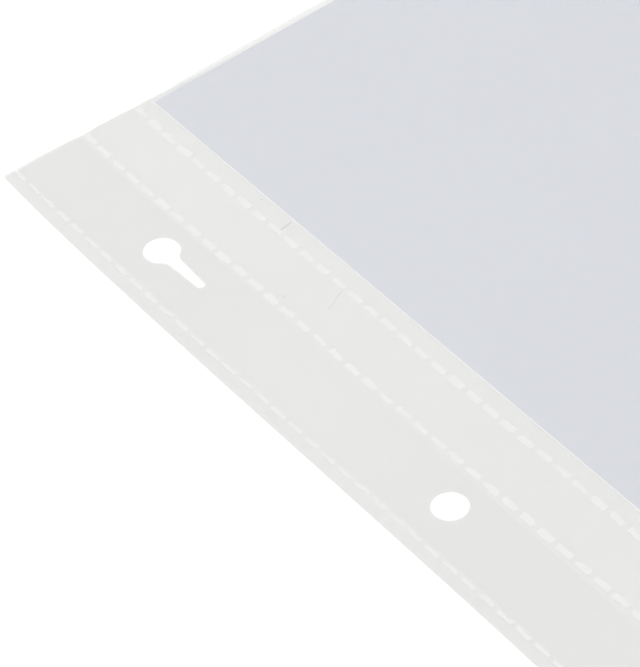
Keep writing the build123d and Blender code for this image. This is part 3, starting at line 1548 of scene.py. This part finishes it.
@dataclass(frozen=True)
class PhotoCamera:
    """Camera that frames the corner of the binding margin and the mouth.

    Attributes:
        place: Where it stands.
        aim: The point in the middle of its frame.
        roll: How far it is turned about its line of sight.
        focal: Focal length in pixels of the frame.
        sensor: Width of the sensor in Blender's millimetres.
        nearest: Distance from which it sees.
        farthest: Distance up to which it sees.
    """

    place: Triple = (-362.00 * MM, -292.09 * MM, 442.08 * MM)
    aim: Triple = (-105.94 * MM, 85.45 * MM, 0.15 * MM)
    roll: float = math.radians(-4.64)
    focal: float = 3750.0
    sensor: float = 36.0
    nearest: float = 0.01
    farthest: float = 100.0

    def build(self) -> None:
        """Set the camera."""
        forward = (Vector(self.aim) - Vector(self.place)).normalized()
        level = forward.cross(Vector((0.0, 0.0, 1.0))).normalized()
        upright = level.cross(forward)
        right = level * math.cos(self.roll) + upright * math.sin(self.roll)
        data = bpy.data.cameras.new("photo_camera")
        data.sensor_width = self.sensor
        data.lens = self.focal * self.sensor / max(PHOTO_FRAME)
        data.clip_start, data.clip_end = self.nearest, self.farthest
        camera = placed("photo_camera", data)
        turn = Matrix((right, right.cross(forward), -forward)).transposed().to_4x4()
        camera.matrix_world = Matrix.Translation(self.place) @ turn
        bpy.context.scene.camera = camera


@dataclass
class SheetProtector:
    """The whole pocket with the sheet in it.

    Attributes:
        plan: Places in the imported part.
        lie: How the pocket lies.
    """

    plan: PocketPlan
    lie: Lie = field(init=False)

    def __post_init__(self) -> None:
        """Work out how the pocket lies."""
        self.lie = Lie(self.plan)

    def marks(self) -> tuple[Mark, ...]:
        """Creases, drawn in painted shade, and dust specks of the front film.

        Returns:
            The marks, in plan.
        """
        left, mouth = self.plan.margin.x.low, self.plan.margin.y.high

        def at(across: float, down: float) -> Triple:
            """A place by its distances from the binding edge and from the mouth, in millimetres."""
            return (left + across * MM, mouth - down * MM, 0.0)

        return (
            Mark(at(29.9, 43.9), at(32.3, 43.6), 0.1 * MM, 0.6),
            Mark(at(28.4, 44.0), at(29.8, 43.9), 0.1 * MM, 0.4),
            Mark(at(24.3, 65.2), at(29.2, 62.8), 0.1 * MM, 0.24),
            Mark(at(24.2, 65.2), at(24.4, 65.2), 0.2 * MM, 0.26),
            Mark(at(31.9, 35.3), at(32.2, 35.5), 0.22 * MM, 0.24),
            Mark(at(20.0, 57.9), at(20.3, 57.6), 0.2 * MM, 0.22),
            Mark(at(29.8, 70.1), at(30.0, 70.1), 0.2 * MM, 0.3),
            Mark(at(10.5, 13.1), at(11.1, 13.7), 0.16 * MM, 0.18),
            Mark(at(1.0, 53.6), at(1.4, 53.9), 0.16 * MM, 0.22),
        )

    def welds(self) -> list[WeldRow]:
        """The five rows of dashes, with the narrower and fainter one along the binding edge.

        Returns:
            The rows, not yet built.
        """
        edge, strip, side, outer, bottom = (
            WeldRow(weld, body, seed, self.plan, self.lie)
            for weld, body, seed in (
                (Weld.BINDING_EDGE, Body.BINDING, 3),
                (Weld.STRIP, Body.BINDING, 11),
                (Weld.POCKET_SIDE, Body.POCKET, 23),
                (Weld.OUTER_SIDE, Body.POCKET, 37),
                (Weld.BOTTOM, Body.POCKET, 51),
            )
        )
        edge.finish, edge.slim, edge.lean, edge.lean_reach = EDGE_FUSED_FILM, 0.86, 0.85 * MM, 24 * MM
        edge.bow, strip.bow, side.bow = 0.1 * MM, 0.6 * MM, 0.6 * MM
        return [edge, strip, side, outer, bottom]

    def build(self) -> list[bpy.types.Object]:
        """Make and dress every piece.

        Returns:
            The pieces.
        """
        tree, welds = DashTree("weld_dashes"), self.welds()
        fused = {finish: finish.material() for finish in (FUSED_FILM, EDGE_FUSED_FILM)}
        rows = [weld.build(tree, fused[weld.finish]) for weld in welds]
        films = FilmPair(self.plan, self.lie, [spot for weld in welds for spot in weld.spots])
        insert = InsertSheet(self.plan, self.lie)
        # the films' cut edges carry painted shade in their darker grey
        cut, seam = FILM_CUT_EDGE_SHADE.material(), FUSED_SEAM.material()
        marked = replace(CLEAR_FILM, name="front_film_clear", marks=self.marks())
        front = films.build(Layer.FRONT, marked.material(), cut, seam)
        back = films.build(Layer.BACK, CLEAR_FILM.material(), cut, seam)
        strip = MarginStrip(self.plan, self.lie).build(STRIP_FILM.material())
        sheet = insert.build(LAVENDER_PAPER.material(), PAPER_EDGE_CORE_AND_HIGHLIGHT.material())
        return [front, back, strip, sheet, *rows]


def main() -> None:
    """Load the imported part, dress it and set the studio."""
    logging.basicConfig(level=logging.INFO, format="%(name)s: %(message)s")
    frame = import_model()
    PhotoCamera().build()
    Studio().build()
    for piece in SheetProtector(PocketPlan.read(frame)).build():
        LOG.info("%s: %d faces", piece.name, len(piece.data.polygons))


if __name__ == "__main__":
    main()
